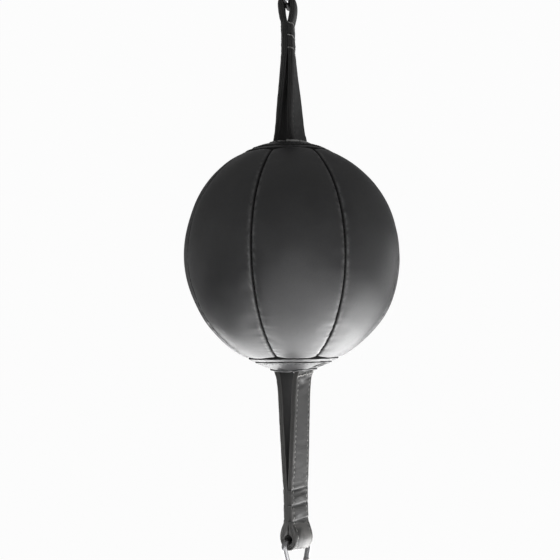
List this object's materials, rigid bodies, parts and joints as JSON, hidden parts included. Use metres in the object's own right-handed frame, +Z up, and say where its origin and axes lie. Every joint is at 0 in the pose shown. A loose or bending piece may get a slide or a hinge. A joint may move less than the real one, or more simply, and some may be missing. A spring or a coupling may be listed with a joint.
{
  "type": "reflex bag",
  "caption": "Air-filled gored leather reflex ball between two laminated leather loop straps, each with a welded steel ring to tie it between floor and ceiling.",
  "frame": {"origin": "where the upper ring bears on the hook that carries the bag", "axes": "+Z up along the hanging bag, -Y towards the front panel's side, +X to its right"},
  "size_m": [0.2293, 0.229, 0.6643],
  "materials": {
    "ball_leather": "fine-grained black, semi-matt",
    "strap_leather": "black strap leather, semi-matt, stitched in pale thread",
    "strap_core": "dark woven webbing",
    "thread": "pale grey waxed thread",
    "canvas": "unbleached canvas",
    "foam": "grey closed-cell foam",
    "bladder_rubber": "brown natural rubber",
    "valve_rubber": "black moulded rubber",
    "ring_steel": "bright nickel plate"
  },
  "bodies": {
    "upper_ring": {"upper_ring": "ring_steel"},
    "upper_strap": {"upper_strap_outer_ply": "strap_leather", "upper_strap_core_ply": "strap_core", "upper_strap_inner_ply": "strap_leather"},
    "ball": {"upper_strap_base": "strap_leather", "upper_slot_welts": "ball_leather", "upper_cap": "ball_leather", "upper_reinforcing_disc": "canvas", "upper_band": "ball_leather", "panel_1": "ball_leather", "panel_2": "ball_leather", "panel_3": "ball_leather", "panel_4": "ball_leather", "panel_5": "ball_leather", "panel_6": "ball_leather", "panel_7": "ball_leather", "padding_1": "foam", "padding_2": "foam", "padding_3": "foam", "padding_4": "foam", "padding_5": "foam", "padding_6": "foam", "padding_7": "foam", "lining": "canvas", "bladder": "bladder_rubber", "valve_stem": "valve_rubber", "valve_grommet": "valve_rubber", "lower_band": "ball_leather", "lower_reinforcing_disc": "canvas", "lower_cap": "ball_leather", "lower_slot_welts": "ball_leather", "lower_strap_base": "strap_leather"},
    "lower_strap": {"lower_strap_outer_ply": "strap_leather", "lower_strap_core_ply": "strap_core", "lower_strap_inner_ply": "strap_leather"},
    "lower_ring": {"lower_ring": "ring_steel"}
  },
  "joints": [
    {"name": "upper_ring_swing", "type": "hinge", "parent": "upper_ring", "child": "upper_strap", "pos_m": [0, 0, -0.04014], "axis": [0.1392, 0.9903, 0], "range_deg": [-100, 100]},
    {"name": "upper_strap_bend", "type": "hinge", "parent": "upper_strap", "child": "ball", "pos_m": [0, 0, -0.18714], "axis": [0.5592, 0.829, 0], "range_deg": [-35, 35], "stiffness_Nm_per_rad": 0.2, "deforming": ["upper_strap_base"]},
    {"name": "lower_strap_bend", "type": "hinge", "parent": "ball", "child": "lower_strap", "pos_m": [0, 0, -0.43114], "axis": [0.6157, 0.788, 0], "range_deg": [-35, 35], "stiffness_Nm_per_rad": 0.2, "deforming": ["lower_strap_base"]},
    {"name": "lower_ring_swing", "type": "hinge", "parent": "lower_strap", "child": "lower_ring", "pos_m": [0, 0, -0.61214], "axis": [0.7071, 0.7071, 0], "range_deg": [-100, 100]}
  ]
}
